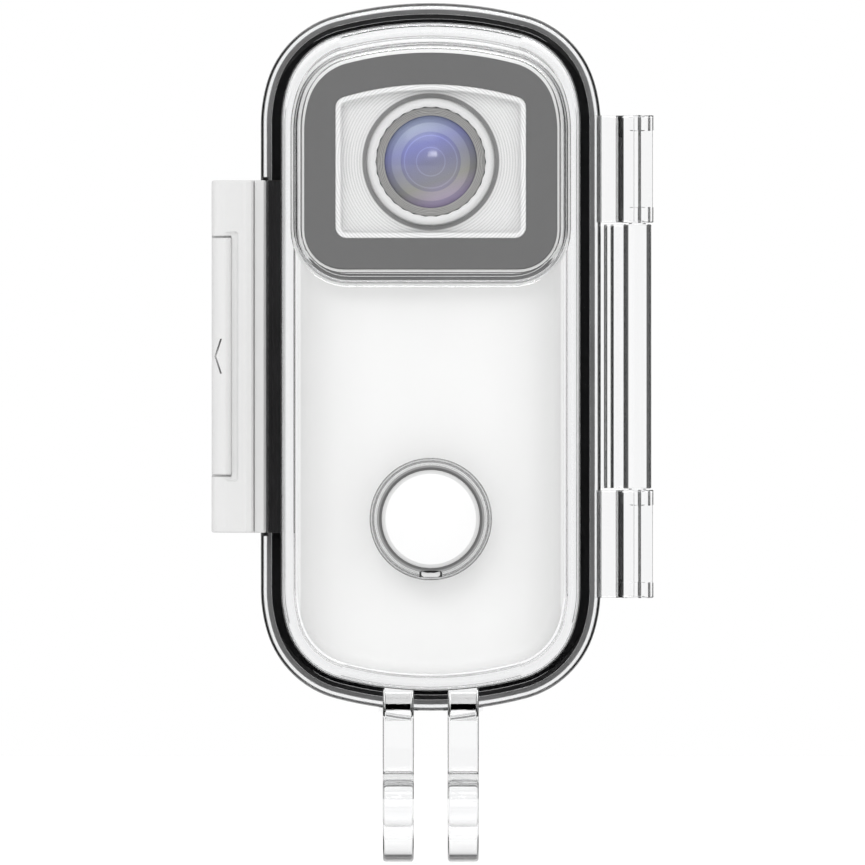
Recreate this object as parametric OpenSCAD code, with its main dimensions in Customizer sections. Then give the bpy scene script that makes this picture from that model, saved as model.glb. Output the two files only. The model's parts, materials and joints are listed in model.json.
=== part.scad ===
// Action camera in a clear dive housing, in millimetres.
// The origin is the middle of the fork's pivot hole. X is right, Y is back and Z is up.

/* [Case outline] */
// Full height of the case
case_h = 65.08; // [64:0.02:67]
// Radius of the shallow arc over the top and under the bottom
apex_r = 34.32; // [33:0.02:36]
// Radius of the four corners
corner_r = 8.96; // [8.5:0.02:9.5]
// Radius of the arc that runs from a corner into the straight side
side_r = 13.65; // [13:0.05:14.5]
// Angle from the vertical at which the top arc ends
apex_a = 14.78; // [14:0.02:15.5]
// Angle from the vertical at which the corner arc ends
corner_a = 72.89; // [72:0.01:74]
// Height of the case's middle over the pivot hole
case_z = 40.57; // [40.5:0.01:41]

/* [Case depth] */
// Front face of the case
case_front = -12.6; // [-12.8:0.1:-12.4]
// Plane where the shell and the door meet
seam_y = 6; // [6:0.1:6.2]
// Outside face of the door
case_back = 13.4; // [13.2:0.1:13.8]
// How far the flange stands out from the shell's body and the door's dish
body_inset = 1.95; // [1.9:0.01:2]
// Thickness of the side walls
wall = 1.2; // [1.1:0.05:1.25]
// Thickness of the front wall and of the door's flat back
face_wall = 2; // [1.8:0.1:2]
// Thickness of the flange along the seam
flange_t = 2.4; // [2.2:0.1:2.6]

/* [Camera] */
// Gap between the housing's inside wall and the camera
cam_gap = 0.3; // [0.25:0.05:0.35]
// Front face of the camera
cam_front = -10; // [-10.1:0.1:-9.9]
// Back face of the camera
cam_back = 11; // [10.8:0.1:11]
// Plane where the camera's two covers meet
cover_y = -3; // [-3.5:0.5:-2.5]
// Wall thickness of the covers
cover_t = 1.2; // [1:0.1:1.2]
// Height of the lens axis
lens_z = 58.4; // [58.2:0.1:58.6]

/* [Hinge and latch] */
// Distance of the door's hinge pin from the middle
hinge_x = 19; // [18.8:0.1:19.2]
// Radius of the shell's hinge knuckles
knuckle_r = 1.5; // [1.4:0.05:1.6]
// Radius of the door's hinge knuckle
door_knuckle_r = 1.3; // [1.25:0.05:1.5]
// Radius of the hinge pin
hinge_pin_r = 0.8; // [0.7:0.05:0.9]
// Running clearance of a pin in its bore
running = 0.06; // [0.03:0.01:0.08]
// Lower and upper end of the latch
latch_z = [24.4, 56.8];
// Place of the latch pin across and along the depth
latch_pivot = [-18.2, 8.9];
// Radius of the latch pin
latch_pin_r = 0.6; // [0.5:0.05:0.7]

/* [Button] */
// Height of the push button's axis
button_z = 25.7; // [25.5:0.1:26]
// Radius of the push button's cap
cap_r = 4.5; // [4.3:0.1:4.6]
// How far the push button travels
press = 0.6; // [0.5:0.05:0.6]

/* [Mount fork] */
// Radius of the pivot hole
pivot_r = 2.6; // [2.5:0.05:2.7]
// Radius of the rounded ends of the prongs
prong_r = 5.8; // [5.6:0.1:6]
// Gap between the two prongs
prong_gap = 3.1; // [3:0.05:3.2]
// Thickness of one prong
prong_t = 2.85; // [2.7:0.05:3]
// How far the thick root of a prong hangs below the case
root_drop = 0.9; // [0.8:0.1:1]
// Front of the thick root, ahead of the pivot hole
root_front = 6.4; // [6.2:0.1:6.6]

/* [Hidden] */
$fn = 64;
eps = 0.05;
half_h = case_h / 2;
apex_c = [0, half_h - apex_r];
corner_c = apex_c + (apex_r - corner_r) * [sin(apex_a), cos(apex_a)];
side_c = corner_c + (corner_r - side_r) * [sin(corner_a), cos(corner_a)];
half_w = side_c.x + side_r;
inner_d = body_inset + wall;
cam_inset = inner_d + cam_gap;
cavity_inset = cam_inset + cover_t;
case_bottom = case_z - half_h;
flange_y = seam_y - flange_t;
door_y = seam_y + 0.1;
door_flange_t = 2.1;

// The lens window stands on the front wall, over the camera's lens block.
boss_w = 12.5;
boss_z = [47.3, 69.3];
boss_front = -15;
window_w = 11.85;
window_z = [48.2, 68.8];
pane_back = -13.85;
panel_w = 11.58;
panel_z = [48.56, 68.38];
panel_front = -13.5;
recess_w = 8.75;
recess_z = [51.37, 65.5];
recess_front = -12.7;
lens_ring_r = 6.26;
thread_r = 4.97;
glass_r = 4.23;
barrel_back = -1.8;

// The hinge's knuckles: the door has the middle one and the shell the outer two.
outer_knuckles = [[18.4, 28.35], [52.9, 62.8]];
middle_knuckle = [28.55, 52.7];
pin_recess = 0.2;

// The latch pulls a sloped lip over the bevelled edge of the shell's flange, beside a soft strip.
bevel_x = -14.9;
bevel_y = 2;
strip_out_x = -14.93;
strip_t = 1.4;
lip_gap = 0.22;
lip_tip_x = -15.12;
latch_front = 1.6;
latch_out = -20.15;
lug_z = [[31, 35], [46, 50]];
lug_r = 1.25;
lug_gap = 0.25;
pocket_z = [29.1, 52.1];
pocket_x = -17.68;
ledge_x = -18.25;
ledge_y = [2.35, 3.2];
lock_z = [29.75, 51.5];
lock_x = -18.32;
lock_y = [1.75, 5.6];
pocket_back = 7.3;

// The push button runs through the front wall onto the camera's own button.
collar_r = 5.6;
collar_bore = 4.97;
cap_front = -13.9;
collar_front = -13.5;
stem_r = 1.4;
stem_end = -10.33;
clip_y = [-10.57, -10.42];
seal_y = [-12.05, -11.35];
seal_wire_r = 0.24;
cam_button_r = 3;
cam_button_front = -10.25;

// Screws that hold the chassis to the front cover.
screw_at = [[-9.7, 23], [9.7, 23], [-9.7, 46.4], [9.7, 46.4]];
screw_r = 0.5;
boss_r = 1;
chassis_y = [1, 2];

// The two places at a distance h on either side of c.
function about(c, h) = [c - h, c + h];

// Points on an arc from angle a0 to a1, measured clockwise from straight up.
function arc(c, r, a0, a1, steps, first) =
    [for (i = [first:steps]) let (a = a0 + (a1 - a0) * i / steps) c + r * [sin(a), cos(a)]];

// One quarter of the case outline, moved in by d, from the apex down to the straight side.
function quarter(d) = concat(
    arc(apex_c, apex_r - d, 0, apex_a, 3, 0),
    arc(corner_c, corner_r - d, apex_a, corner_a, 7, 1),
    arc(side_c, side_r - d, corner_a, 90, 3, 1));

function backwards(points) = [for (i = [len(points) - 1:-1:0]) points[i]];

// Closes a right half, whose first and last points lie on the middle line, by its mirror image.
function both_sides(half) = concat(half,
    [for (i = [len(half) - 2:-1:1]) [-half[i].x, half[i].y]]);

function case_outline(d) = both_sides(concat(quarter(d),
    [for (p = backwards(quarter(d))) [p.x, -p.y]]));

// A panel with the case's own arched top and two round bottom corners.
function panel_outline(w, z, foot_r) = let (d = half_w - w, lift = z[1] - half_h + d)
    both_sides(concat([for (p = quarter(d)) p + [0, lift]],
        arc([w - foot_r, z[0] + foot_r], foot_r, 90, 180, 5, 0),
        [[0, z[0]]]));

// Stands an outline drawn in X and Z upright, from y[0] back to y[1].
module upright(y) {
    translate([0, y[1], 0]) rotate([90, 0, 0]) linear_extrude(y[1] - y[0]) children();
}

module slab(d, y) {
    translate([0, 0, case_z]) upright(y) polygon(case_outline(d));
}

module panel(w, z, foot_r, y) {
    upright(y) polygon(panel_outline(w, z, foot_r));
}

module rod_y(r, y, x, z) {
    translate([x, y[1], z]) rotate([90, 0, 0]) cylinder(r = r, h = y[1] - y[0]);
}

module rod_x(r, x, y, z) {
    translate([x[0], y, z]) rotate([0, 90, 0]) cylinder(r = r, h = x[1] - x[0]);
}

module rod_z(r, z, x, y) {
    translate([x, y, z[0]]) cylinder(r = r, h = z[1] - z[0]);
}

module block(x, y, z) {
    translate([x[0], y[0], z[0]]) cube([x[1] - x[0], y[1] - y[0], z[1] - z[0]]);
}

module plan(z) {
    translate([0, 0, z[0]]) linear_extrude(z[1] - z[0]) children();
}

// A round-wire ring around an axis along Y.
module ring_y(r, wire_r, y, x, z) {
    translate([x, y, z]) rotate([90, 0, 0]) rotate_extrude() translate([r, 0]) circle(wire_r, $fn = 24);
}

// A coil of round wire along Y, from y[0] to y[1], swept with six sides.
module coil_y(r, wire_r, y, turns, x, z) {
    steps = 14 * turns;
    sides = 6;
    points = [for (i = [0:steps]) for (j = [0:sides - 1])
        let (a = 360 * turns * i / steps, b = 360 * j / sides, s = r + wire_r * cos(b))
        [x + s * cos(a), y[0] + wire_r + (y[1] - y[0] - 2 * wire_r) * i / steps + wire_r * sin(b),
            z + s * sin(a)]];
    skin = [for (i = [0:steps - 1]) for (j = [0:sides - 1]) let (k = (j + 1) % sides)
        [i * sides + j, i * sides + k, (i + 1) * sides + k, (i + 1) * sides + j]];
    ends = [[for (j = [sides - 1:-1:0]) j], [for (j = [0:sides - 1]) steps * sides + j]];
    polyhedron(points, concat(skin, ends));
}

// One knuckle of the hinge with the arm that reaches in to the case.
module knuckle(z, r, arm_y) {
    difference() {
        union() {
            rod_z(r, z, hinge_x, seam_y);
            block([half_w - 2, hinge_x], arm_y, z);
        }
        slab(eps, [case_front, case_back]);
    }
}

module front_shell() {
    color("#DCE6EA", 0.35) difference() {
        union() {
            slab(body_inset + 1.1, [case_front, flange_y]);
            slab(body_inset + 0.5, [case_front + 0.5, flange_y]);
            slab(body_inset, [case_front + 1.3, flange_y]);
            slab(0, [flange_y, seam_y]);
            for (z = outer_knuckles) knuckle(z, knuckle_r, [flange_y + 0.6, seam_y]);
        }
        slab(inner_d, [case_front + face_wall, seam_y + 1]);
        panel(window_w, window_z, 3.9, [case_front - 1, cam_front]);
        rod_y(stem_r + running, [case_front - 1, cam_front], 0, button_z);
        for (z = outer_knuckles) rod_z(hinge_pin_r, [z[0] - 1, z[1] + 1], hinge_x, seam_y);
        plan(latch_z + [-0.3, 0.3]) polygon([[bevel_x, flange_y - 1], [bevel_x, flange_y],
            [-half_w, flange_y + bevel_y], [-half_w - 1, flange_y + bevel_y],
            [-half_w - 1, flange_y - 1]]);
    }
}

module window_frame() {
    color("#DCE6EA", 0.35) difference() {
        panel(boss_w, boss_z, 5, [boss_front, case_front]);
        panel(window_w, window_z, 3.9, [boss_front - 1, case_front + 1]);
    }
}

module lens_window() {
    color("#E6F0F4", 0.35) panel(window_w, window_z, 3.9, [boss_front, pane_back]);
}

module mount_fork() {
    root_z = [case_bottom - root_drop, case_bottom + body_inset + 0.6];
    prong_out = prong_gap / 2 + prong_t;
    color("#DCE6EA", 0.35) difference() {
        union() {
            for (x = [[prong_gap / 2, prong_out], [-prong_out, -prong_gap / 2]]) {
                rod_x(prong_r, x, 0, 0);
                block(x, [-prong_r, prong_r], [0, root_z[1]]);
                block(x, [-root_front, prong_r], root_z);
            }
            block([-prong_out, prong_out], [-root_front, flange_y], [root_z[1] - 1.1, root_z[1]]);
        }
        slab(body_inset, [case_front, flange_y]);
        slab(0, [flange_y, case_back]);
        rod_x(pivot_r, [-6, 6], 0, 0);
    }
}

module hinge_pin() {
    ends = [outer_knuckles[0][0] + pin_recess, outer_knuckles[1][1] - pin_recess];
    color("#DCE6EA", 0.35) rod_z(hinge_pin_r, ends, hinge_x, seam_y);
}

module catch_strip() {
    color("#1C1C1E") block([strip_out_x, body_inset - half_w], [flange_y - strip_t, flange_y], latch_z);
}

module button_collar() {
    color("#E8EDF0", 0.5) difference() {
        rod_y(collar_r, [collar_front, case_front], 0, button_z);
        rod_y(collar_bore, [collar_front - 1, case_front + 1], 0, button_z);
    }
}

module push_button() {
    color("#F4F4F2") {
        difference() {
            union() {
                rod_y(cap_r, [cap_front, case_front - press - 0.1], 0, button_z);
                rod_y(stem_r, [cap_front + 0.5, stem_end], 0, button_z);
            }
            difference() {
                rod_y(3.6, [case_front - press - 0.4, case_front], 0, button_z);
                rod_y(stem_r, [cap_front, stem_end], 0, button_z);
            }
            for (y = seal_y) ring_y(stem_r, seal_wire_r, y, 0, button_z);
            difference() {
                rod_y(stem_r + 1, clip_y, 0, button_z);
                rod_y(stem_r - 0.3, [-11, -10], 0, button_z);
            }
        }
    }
}

module button_seals() {
    color("#202022") for (y = seal_y) intersection() {
        ring_y(stem_r, seal_wire_r, y, 0, button_z);
        rod_y(stem_r + running / 2, [y - 1, y + 1], 0, button_z);
    }
}

module button_clip() {
    color("#B9BCC0") difference() {
        rod_y(2.3, clip_y, 0, button_z);
        rod_y(stem_r - 0.3, [-11, -10], 0, button_z);
    }
}

module button_spring() {
    color("#B9BCC0") coil_y(2.6, 0.13, [case_front - press - 0.38, case_front - 0.02], 2, 0, button_z);
}

module back_door() {
    color("#DCE6EA", 0.35) difference() {
        union() {
            slab(0, [door_y, door_y + door_flange_t]);
            slab(body_inset, [door_y, case_back - 1.3]);
            slab(body_inset + 0.5, [door_y, case_back - 0.5]);
            slab(body_inset + 1.1, [door_y, case_back]);
            knuckle(middle_knuckle, door_knuckle_r, [door_y, seam_y + door_knuckle_r]);
            for (z = lug_z) {
                rod_z(lug_r, z, latch_pivot.x, latch_pivot.y);
                block([latch_pivot.x, -half_w + body_inset + 0.6], about(latch_pivot.y, 0.85), z);
            }
        }
        slab(inner_d, [seam_y - 1, case_back - face_wall]);
        rod_z(hinge_pin_r + running, middle_knuckle + [-1, 1], hinge_x, seam_y);
        for (z = lug_z) rod_z(latch_pin_r, z + [-1, 1], latch_pivot.x, latch_pivot.y);
        difference() {
            slab(1, [door_y - 1, door_y + 0.9]);
            slab(1.9, [door_y - 2, door_y + 2]);
        }
    }
}

module door_gasket() {
    color("#141416") difference() {
        slab(1, [seam_y + 0.05, door_y + 0.9]);
        slab(1.9, [seam_y - 1, door_y + 2]);
    }
}

module seat_pads() {
    pad_y = [cam_back + 0.05, case_back - face_wall];
    color("#3A3A3C") for (z = [20, 52]) block([-7, 7], pad_y, [z, z + 9]);
}

module latch_pin() {
    color("#B9BCC0") rod_z(latch_pin_r, latch_z + [0.6, -0.6], latch_pivot.x, latch_pivot.y);
}

// The latch lever seen from above: a lip in front, the outer side and the pivot behind.
module latch_profile() {
    slope = (half_w + bevel_x) / bevel_y;
    lip_y = flange_y - (lip_tip_x + lip_gap - bevel_x) / slope;
    polygon([[lip_tip_x, lip_y], [lip_tip_x, latch_front + 0.4], [lip_tip_x - 0.4, latch_front],
        [-17.1, latch_front], [-19, latch_front + 0.5], [latch_out + 0.25, latch_front + 1.2],
        [latch_out, latch_front + 2], [latch_out, 9.5], [latch_out + 0.55, 10.4], [-18.2, 10.8],
        [-16.9, 10.4], [-16.25, 9.4], [-16.05, 8.6], [-15.85, 8], [-15.85, flange_y + bevel_y + 0.5],
        [-half_w - lip_gap, flange_y + bevel_y]]);
}

module latch_frame() {
    color("#F2F2F0") difference() {
        plan(latch_z) latch_profile();
        rod_z(latch_pin_r + running, latch_z + [-1, 1], latch_pivot.x, latch_pivot.y);
        for (z = lug_z) {
            rod_z(lug_r + lug_gap, z + [-lug_gap, lug_gap], latch_pivot.x, latch_pivot.y);
            block([latch_out - 1, -15], [latch_pivot.y - lug_r - lug_gap, 12], z + [-lug_gap, lug_gap]);
        }
        block([latch_out - 1, ledge_x], [latch_front - 1, pocket_back], pocket_z);
        block([ledge_x, pocket_x], [latch_front - 1, ledge_y[0]], pocket_z);
        block([ledge_x, pocket_x], [ledge_y[1], pocket_back], pocket_z);
    }
}

module latch_lock() {
    color("#EDEDEB") plan(lock_z) polygon([[lock_x, lock_y[0] + 0.2], [lock_x - 0.55, lock_y[0]],
        [-19.2, lock_y[0] + 0.3], [latch_out + 0.3, lock_y[0] + 1.2], [latch_out + 0.05, lock_y[0] + 2],
        [latch_out + 0.05, lock_y[1]], [pocket_x - 0.1, lock_y[1]],
        [pocket_x - 0.1, ledge_y[1] + 0.15], [lock_x, ledge_y[1] + 0.15]]);
}

module lock_spring() {
    color("#B9BCC0") for (z = [38, 43]) coil_y(0.55, 0.1, [lock_y[1] + 0.02, pocket_back - 0.02], 4,
        -18.9, z);
}

// The camera's outside, with its edges stepped in towards front and back.
module camera_body() {
    slab(cam_inset, [cam_front + 1.6, cam_back - 3]);
    slab(cam_inset + 0.5, [cam_front + 0.6, cam_back - 1.4]);
    slab(cam_inset + 1.3, [cam_front, cam_back - 0.5]);
    slab(cam_inset + 2.4, [cam_front, cam_back]);
}

module camera_front() {
    color("#F5F5F3") {
        difference() {
            intersection() {
                camera_body();
                slab(0, [cam_front - 1, cover_y]);
            }
            slab(cavity_inset, [cam_front + cover_t, cover_y + 1]);
            panel(panel_w, panel_z, 3.6, [cam_front - 1, cam_front + cover_t + 1]);
            rod_y(cam_button_r + 0.1, [cam_front - 1, cam_front + 2], 0, button_z);
            for (x = [-6, 6]) rod_y(0.4, [cam_front - 1, cam_front + 2], x, 15.2);
            difference() {
                slab(cam_inset + 0.3, [cover_y - 0.6, cover_y + 1]);
                slab(cam_inset + 0.8, [cover_y - 1, cover_y + 2]);
            }
        }
        difference() {
            rod_y(4.9, [cam_front + cover_t, -7.6], 0, button_z);
            rod_y(3.9, [cam_front, -7], 0, button_z);
        }
        for (at = screw_at) difference() {
            rod_y(boss_r, [cam_front + cover_t, chassis_y[0]], at.x, at.y);
            rod_y(screw_r, [-6, 2], at.x, at.y);
        }
    }
}

module camera_back() {
    color("#F5F5F3") difference() {
        intersection() {
            camera_body();
            slab(0, [cover_y, cam_back + 1]);
        }
        slab(cavity_inset, [cover_y - 1, cam_back - 3]);
        slab(cavity_inset + 1.2, [cover_y - 1, cam_back - cover_t]);
        block([10, half_w], [2.8, 6.4], [49.6, 59.4]);
    }
}

module cover_seal() {
    color("#202022") difference() {
        slab(cam_inset + 0.3, [cover_y - 0.6, cover_y]);
        slab(cam_inset + 0.8, [cover_y - 1, cover_y + 1]);
    }
}

module face_panel() {
    color("#727272") difference() {
        panel(panel_w, panel_z, 3.6, [panel_front, cam_front + cover_t]);
        panel(recess_w, recess_z, 1.05, [panel_front - 1, cam_front + cover_t + 1]);
    }
}

module lens_recess() {
    color("#F7F7F6") difference() {
        panel(recess_w, recess_z, 1.05, [recess_front, cam_front + cover_t]);
        rod_y(lens_ring_r, [recess_front - 1, cam_front + 2], 0, lens_z);
    }
}

module lens_ring() {
    color("#F4F4F3") difference() {
        rod_y(lens_ring_r, [-13.1, cam_front + cover_t], 0, lens_z);
        rod_y(thread_r, [-14, cam_front + 2], 0, lens_z);
    }
}

module thread_ring() {
    color("#8C8E92") difference() {
        rod_y(thread_r, [-12.9, cam_front + cover_t], 0, lens_z);
        rod_y(glass_r, [-14, cam_front + 2], 0, lens_z);
    }
}

module front_glass() {
    color("#3C4270", 0.8) intersection() {
        rod_y(glass_r, [-13, -11.2], 0, lens_z);
        translate([0, -3, lens_z]) sphere(9.8, $fn = 96);
    }
}

module lens_barrel() {
    color("#18181A") difference() {
        union() {
            rod_y(glass_r, [-11.2, cam_front + cover_t], 0, lens_z);
            rod_y(4.8, [cam_front + cover_t, barrel_back], 0, lens_z);
        }
        rod_y(3.6, [-12, barrel_back + 1], 0, lens_z);
    }
}

module lens_elements() {
    color("#8890A8", 0.6) for (y = [[-10.6, -9.4], [-7.6, -6.2], [-4.4, -3.4]])
        rod_y(3.6, y, 0, lens_z);
}

module image_sensor() {
    color("#223344") block([-3.4, 3.4], [barrel_back, -1], about(lens_z, 2.6));
}

module sensor_board() {
    color("#1F4A38") block([-7, 7], [-1, 0], [51, 65.6]);
}

module heat_plate() {
    color("#A8ABAE") block([-7, 7], [0, chassis_y[0]], [50, 65.6]);
}

module chassis() {
    color("#55585C") difference() {
        slab(cavity_inset + 0.15, chassis_y);
        for (at = screw_at) rod_y(screw_r, [0, 3], at.x, at.y);
    }
}

module main_board() {
    color("#1F4A38") block([-7.5, 7.5], [0, chassis_y[0]], [14.5, 47]);
}

module battery() {
    color("#2A2C30") block([-8.7, 8.7], [chassis_y[1], 9], [15.8, 47]);
}

module card_slot() {
    color("#B4B7BA") difference() {
        block([-6.2, 6.2], [chassis_y[1], 5.2], [49.5, 63]);
        block([-5.5, 5.5], [3.4, 4.4], [49, 62.2]);
    }
}

module memory_card() {
    color("#1C1C20") block([-5.5, 5.5], [3.4, 4.4], [48.2, 62.2]);
}

module usb_port() {
    color("#B4B7BA") difference() {
        block([7.7, 10.9], [3, 6.2], [50, 59]);
        block([8.5, 11.9], [3.7, 5.5], [50.8, 58.2]);
    }
}

module port_cover() {
    color("#F0F0EE") intersection() {
        block([half_w - cavity_inset, half_w], [2.8, 6.4], [49.6, 59.4]);
        slab(cam_inset, [0, 8]);
    }
}

module speaker() {
    color("#2C2E32") block([-10.6, -6.8], [chassis_y[1], 6], [49.5, 56.5]);
}

module microphones() {
    color("#9A9DA0") for (x = [-6, 6]) rod_y(1.2, [cam_front + cover_t, -7.6], x, 15.2);
}

module antenna() {
    color("#C89A58") block([-10.8, -10.4], [-7.5, -3.2], [25.5, 44]);
}

module cover_screws() {
    color("#8E9194") for (at = screw_at) {
        rod_y(screw_r, [-4, chassis_y[1]], at.x, at.y);
        rod_y(0.9, [chassis_y[1], 2.7], at.x, at.y);
    }
}

module camera_button() {
    color("#ECECEA") {
        rod_y(cam_button_r, [cam_button_front, -8.7], 0, button_z);
        rod_y(3.6, [-8.7, -8.35], 0, button_z);
    }
}

module dome_switch() {
    color("#B4B7BA") rod_y(2, [-7.7, -7.6], 0, button_z);
}

module button_board() {
    color("#1F4A38") rod_y(4.9, [-7.6, -6.8], 0, button_z);
}

front_shell();
window_frame();
lens_window();
mount_fork();
hinge_pin();
catch_strip();
button_collar();
push_button();
button_seals();
button_clip();
button_spring();
back_door();
door_gasket();
seat_pads();
latch_pin();
latch_frame();
latch_lock();
lock_spring();
camera_front();
camera_back();
cover_seal();
face_panel();
lens_recess();
lens_ring();
thread_ring();
front_glass();
lens_barrel();
lens_elements();
image_sensor();
sensor_board();
heat_plate();
chassis();
main_board();
battery();
card_slot();
memory_card();
usb_port();
port_cover();
speaker();
microphones();
antenna();
cover_screws();
camera_button();
button_board();
dome_switch();
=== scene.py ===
"""Action camera in a clear dive housing: its visible pieces, materials, light and camera.

Sizes are in millimetres until a mesh is made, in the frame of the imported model: X right, Y back, Z up,
with the origin in the middle of the mounting fork's pivot hole.
"""
import json
import math

import bmesh
import bpy
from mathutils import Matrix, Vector


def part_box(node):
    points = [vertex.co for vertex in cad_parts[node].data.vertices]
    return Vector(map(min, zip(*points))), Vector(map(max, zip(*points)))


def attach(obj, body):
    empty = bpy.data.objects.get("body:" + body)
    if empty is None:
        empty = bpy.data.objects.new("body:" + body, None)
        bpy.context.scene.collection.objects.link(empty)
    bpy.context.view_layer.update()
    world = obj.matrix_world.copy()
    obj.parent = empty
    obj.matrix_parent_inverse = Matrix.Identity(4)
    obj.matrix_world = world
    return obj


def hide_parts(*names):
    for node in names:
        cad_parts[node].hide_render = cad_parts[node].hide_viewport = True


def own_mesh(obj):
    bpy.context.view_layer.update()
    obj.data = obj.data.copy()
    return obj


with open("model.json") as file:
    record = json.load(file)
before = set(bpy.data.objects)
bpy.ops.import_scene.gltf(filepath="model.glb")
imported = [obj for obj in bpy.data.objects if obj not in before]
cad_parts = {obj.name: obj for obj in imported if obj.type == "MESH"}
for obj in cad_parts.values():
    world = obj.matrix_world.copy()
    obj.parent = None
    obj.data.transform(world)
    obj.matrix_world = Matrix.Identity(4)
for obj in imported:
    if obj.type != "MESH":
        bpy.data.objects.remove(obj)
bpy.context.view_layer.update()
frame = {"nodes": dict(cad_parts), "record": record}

MM = 0.001


def box_mm(node):
    """The lowest and highest corners of a CAD node, in millimetres."""
    low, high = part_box(node)
    return [c / MM for c in low], [c / MM for c in high]


# ------------------------ sizes from the frame
GASKET_LOW, GASKET_HIGH = box_mm("door_gasket")
GASKET_INSET = 1.0
HALF_W = GASKET_HIGH[0] + GASKET_INSET
HALF_H = (GASKET_HIGH[2] - GASKET_LOW[2]) / 2 + GASKET_INSET
CASE_Z = (GASKET_HIGH[2] + GASKET_LOW[2]) / 2
CASE_FRONT = box_mm("front_shell")[0][1]
SEAM_Y = GASKET_LOW[1] - 0.05
CASE_BACK = box_mm("back_door")[1][1]
BODY_D = HALF_W + box_mm("catch_strip")[1][0]
WALL_D = BODY_D + 1.2
FACE_WALL = 2.0

# The case outline: a shallow arc, a tight corner and a wide shoulder that runs into a straight side.
APEX_R = 34.32
CORNER_R = 8.96
SIDE_R = 13.65
APEX_A = 14.78
CORNER_A = 72.89

CAM_INSET = HALF_W - box_mm("camera_back")[1][0]
CAM_FRONT = box_mm("camera_front")[0][1]
CAM_BACK = box_mm("camera_back")[1][1]
COVER_Y = box_mm("camera_back")[0][1]
LENS_Z = 58.4
BUTTON_Z = 25.7

CLEAR_GAP = 0.02
SHARP_ANGLE = 32


# ------------------------ outlines
def arc(cx, cz, r, a0, a1, steps, first=0):
    """Points on an arc, with angles clockwise from straight up."""
    turn = [math.radians(a0 + (a1 - a0) * i / steps) for i in range(first, steps + 1)]
    return [(cx + r * math.sin(a), cz + r * math.cos(a)) for a in turn]


def quarter(d):
    """One quarter of the case outline, moved in by d, from the apex to the straight side."""
    s1, c1 = math.sin(math.radians(APEX_A)), math.cos(math.radians(APEX_A))
    s2, c2 = math.sin(math.radians(CORNER_A)), math.cos(math.radians(CORNER_A))
    apex_z = HALF_H - APEX_R
    corner = ((APEX_R - CORNER_R) * s1, apex_z + (APEX_R - CORNER_R) * c1)
    side = (corner[0] + (CORNER_R - SIDE_R) * s2, corner[1] + (CORNER_R - SIDE_R) * c2)
    return (arc(0, apex_z, APEX_R - d, 0, APEX_A, 8)
            + arc(*corner, CORNER_R - d, APEX_A, CORNER_A, 16, 1)
            + arc(*side, SIDE_R - d, CORNER_A, 90, 8, 1))


def both_sides(half):
    """Closes a right half, whose ends lie on the middle line, with its mirror image."""
    return half + [(-x, z) for x, z in reversed(half[1:-1])]


def case_outline(d):
    top = quarter(d)
    side_top = top[-1][1]
    side = [(top[-1][0], side_top * k / 6) for k in range(5, -6, -1)]
    half = top + side + [(x, -z) for x, z in reversed(top)]
    return [(x, z + CASE_Z) for x, z in both_sides(half)]


def panel_outline(half_w, z0, z1, foot_r, d=0.0):
    """A panel with the case's arched top and two round bottom corners, moved in by d."""
    inset = HALF_W - half_w + d
    lift = z1 - HALF_H + HALF_W - half_w
    top = [(x, z + lift) for x, z in quarter(inset)]
    r = max(foot_r - d, 0.05)
    foot = arc(half_w - d - r, z0 + d + r, r, 90, 180, 10)
    return both_sides(top + foot + [(0.0, z0 + d)])


# ------------------------ meshes
def link(name, data):
    obj = bpy.data.objects.new(name, data)
    bpy.context.scene.collection.objects.link(obj)
    return obj


def to_object(name, bm):
    """Moves a bmesh's faces into a new object, and frees it."""
    mesh = bpy.data.meshes.new(name)
    bm.to_mesh(mesh)
    bm.free()
    return link(name, mesh)


def smooth(obj):
    """Shades a mesh smooth, but for its sharp edges."""
    obj.data.polygons.foreach_set("use_smooth", [True] * len(obj.data.polygons))
    obj.data.set_sharp_from_angle(angle=math.radians(SHARP_ANGLE))
    return obj


def from_rings(name, rings, closed=False):
    """Joins rings of equal length into a skin: closed on itself, or with a cap at each end."""
    bm = bmesh.new()
    loops = [[bm.verts.new(Vector(p) * MM) for p in ring] for ring in rings]
    for a, b in zip(loops, loops[1:] + (loops[:1] if closed else [])):
        for i in range(len(a)):
            j = (i + 1) % len(a)
            bm.faces.new((a[i], a[j], b[j], b[i]))
    if not closed:
        bm.faces.new(reversed(loops[0]))
        bm.faces.new(loops[-1])
    bmesh.ops.recalc_face_normals(bm, faces=bm.faces)
    return smooth(to_object(name, bm))


def sweep(name, outline, profile, closed=False):
    """Carries an outline along a profile of (inset, y) points."""
    rings = [[(x, y, z) for x, z in outline(d)] for d, y in profile]
    return from_rings(name, rings, closed)


def circle(r, u, v, sides):
    """Points evenly round (u, v)."""
    turn = [2 * math.pi * i / sides for i in range(sides)]
    return [(u + r * math.cos(a), v + r * math.sin(a)) for a in turn]


def fillet(d0, y0, r, from_a, to_a, steps=6):
    """Points of a round about (d0, y0) in a profile, with angles from +d towards +y."""
    turn = [math.radians(from_a + (to_a - from_a) * i / steps) for i in range(steps + 1)]
    return [(d0 + r * math.cos(a), y0 + r * math.sin(a)) for a in turn]


def lathe(name, profile, x, z, segments=128, closed=True):
    """Turns a profile of (radius, y) points about an axis along Y."""
    rings = [[(u, y, v) for u, v in circle(r, x, z, segments)] for r, y in profile]
    return from_rings(name, rings, closed=closed)


def prism(name, points, low, high, axis="Z", bevel=0.0, segments=3, angle=30):
    """Extrudes a polygon from low to high along an axis, with its points in the other two axes."""
    place = {"Z": lambda p, t: (*p, t), "Y": lambda p, t: (p[0], t, p[1]), "X": lambda p, t: (t, *p)}[axis]
    obj = from_rings(name, [[place(p, t) for p in points] for t in (low, high)])
    return smooth(round_edges(obj, bevel, segments, angle)) if bevel else obj


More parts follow.
